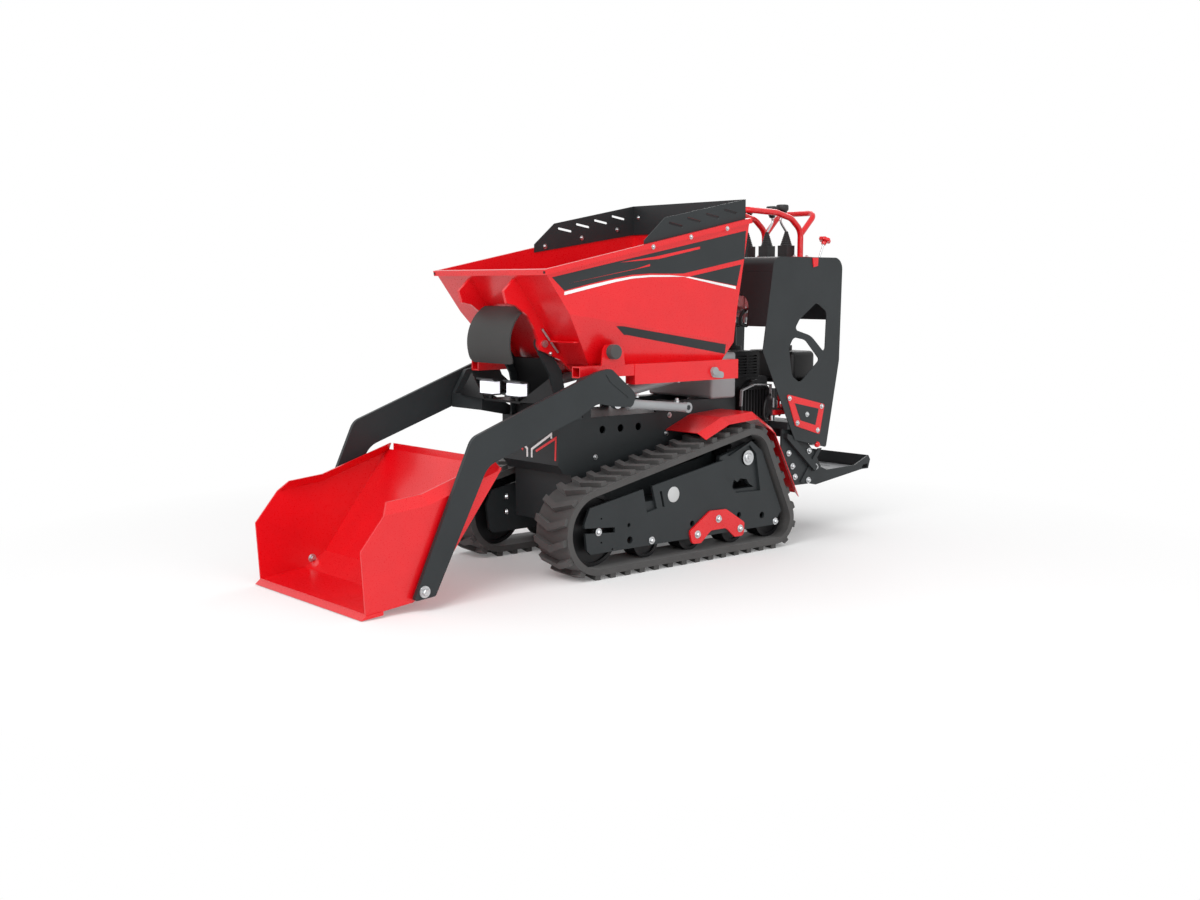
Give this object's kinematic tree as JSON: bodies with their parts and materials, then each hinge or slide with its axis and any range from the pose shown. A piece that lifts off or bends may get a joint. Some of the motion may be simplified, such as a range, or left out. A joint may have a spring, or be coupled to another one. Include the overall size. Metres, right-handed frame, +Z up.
{
  "type": "self-loading tracked mini dumper",
  "caption": "Narrow rubber-tracked site dumper with a front self-loading shovel on two arms, a forward-tipping skip and a stand-on rear platform.",
  "frame": {"origin": "centre of the whole machine's footprint box at ground level, under the tracks", "axes": "+X forward towards the shovel, +Y to the machine's left, +Z up"},
  "size_m": [2.7266, 0.792, 1.4255],
  "materials": {
    "track_rubber": "matte ribbed rubber",
    "dark_paint": "satin charcoal powder coat",
    "black_paint": "satin black paint",
    "red_paint": "gloss red paint",
    "bright_steel": "zinc-plated steel",
    "chrome_rod": "hard chrome",
    "grey_paint": "light grey paint",
    "engine_metal": "cast engine metal",
    "black_plastic": "moulded black plastic",
    "flap_rubber": "smooth black rubber",
    "lamp_body": "cast lamp housing"
  },
  "bodies": {
    "chassis": {"track_left": "track_rubber", "track_right": "track_rubber", "track_frame_left": "dark_paint", "track_frame_right": "dark_paint", "front_idlers": "black_paint", "bottom_rollers": "black_paint", "bogie_plates": "red_paint", "drive_sprockets": "black_paint", "cross_beams": "dark_paint", "chassis_box": "dark_paint", "rear_frame": "dark_paint", "skip_posts": "dark_paint", "skip_pins": "bright_steel", "arm_brackets": "dark_paint", "cylinder_brackets": "dark_paint", "lamp_bracket": "black_paint", "work_lamps": "lamp_body", "fenders": "red_paint", "engine_block": "engine_metal", "carburettor": "bright_steel", "engine_shroud": "black_paint", "muffler_guard": "black_paint", "oil_tank": "grey_paint", "air_cleaner": "black_plastic", "fuel_tank": "black_plastic", "valve_block": "bright_steel", "tower_side_left": "dark_paint", "tower_side_right": "dark_paint", "console": "dark_paint", "tower_front": "dark_paint", "tower_back": "dark_paint", "cover_plates": "red_paint", "tower_feet": "dark_paint", "hoop_handle": "red_paint", "lever_boots": "black_plastic", "levers": "black_plastic", "stop_knob": "red_paint", "rear_brackets": "dark_paint"},
    "skip": {"skip_tub": "red_paint", "skip_rim": "red_paint", "skip_channels": "red_paint", "skip_gussets": "red_paint", "skip_flap": "flap_rubber", "side_boards": "dark_paint", "rear_board": "dark_paint", "skip_links": "grey_paint", "skip_bumpers": "track_rubber"},
    "arms": {"arm_left": "dark_paint", "arm_right": "dark_paint", "shovel_pins": "bright_steel"},
    "shovel": {"shovel_shell": "red_paint"},
    "platform": {"platform_tray": "dark_paint"},
    "fuel_cap": {"fuel_cap": "black_plastic"},
    "tip_barrels": {"tip_barrels": "grey_paint"},
    "tip_rods": {"tip_rods": "chrome_rod"},
    "lift_barrels": {"lift_barrels": "grey_paint"},
    "lift_rods": {"lift_rods": "chrome_rod"}
  },
  "joints": [
    {"name": "skip_tip", "type": "hinge", "parent": "chassis", "child": "skip", "pos_m": [0.433, 0, 0.86], "axis": [0, 1, 0], "range_deg": [0, 75]},
    {"name": "arms_lift", "type": "hinge", "parent": "chassis", "child": "arms", "pos_m": [0.31, 0, 0.705], "axis": [0, 1, 0], "range_deg": [-118, 0]},
    {"name": "shovel_tilt", "type": "hinge", "parent": "arms", "child": "shovel", "pos_m": [1.135, 0, 0.07], "axis": [0, 1, 0], "range_deg": [-25, 0]},
    {"name": "platform_fold", "type": "hinge", "parent": "chassis", "child": "platform", "pos_m": [-0.985, 0, 0.262], "axis": [0, 1, 0], "range_deg": [0, 85]},
    {"name": "fuel_cap_turn", "type": "hinge", "parent": "chassis", "child": "fuel_cap", "pos_m": [-0.985, 0.06, 0.8], "axis": [0, 0, 1], "range_deg": [0, 120]},
    {"name": "tip_barrel_swing", "type": "hinge", "parent": "chassis", "child": "tip_barrels", "pos_m": [0.25, 0, 0.655], "axis": [0, 1, 0], "range_deg": [0, 73]},
    {"name": "tip_rod_slide", "type": "slide", "parent": "tip_barrels", "child": "tip_rods", "axis": [-0.9864, 0, 0.1644], "range_m": [0, 0.3342]},
    {"name": "lift_barrel_swing", "type": "hinge", "parent": "chassis", "child": "lift_barrels", "pos_m": [-0.13, 0, 0.603], "axis": [0, 1, 0], "range_deg": [-1.36, 0]},
    {"name": "lift_rod_slide", "type": "slide", "parent": "lift_barrels", "child": "lift_rods", "axis": [0.9949, 0, 0.1009], "range_m": [0, 0.1703]}
  ],
  "couplings": [
    {"joint": "tip_barrel_swing", "follows": "skip_tip", "ratio": 0.97273},
    {"joint": "tip_rod_slide", "follows": "skip_tip", "m_per_rad": 0.25495},
    {"joint": "lift_barrel_swing", "follows": "arms_lift", "ratio": 0.01108},
    {"joint": "lift_rod_slide", "follows": "arms_lift", "m_per_rad": -0.08247}
  ]
}
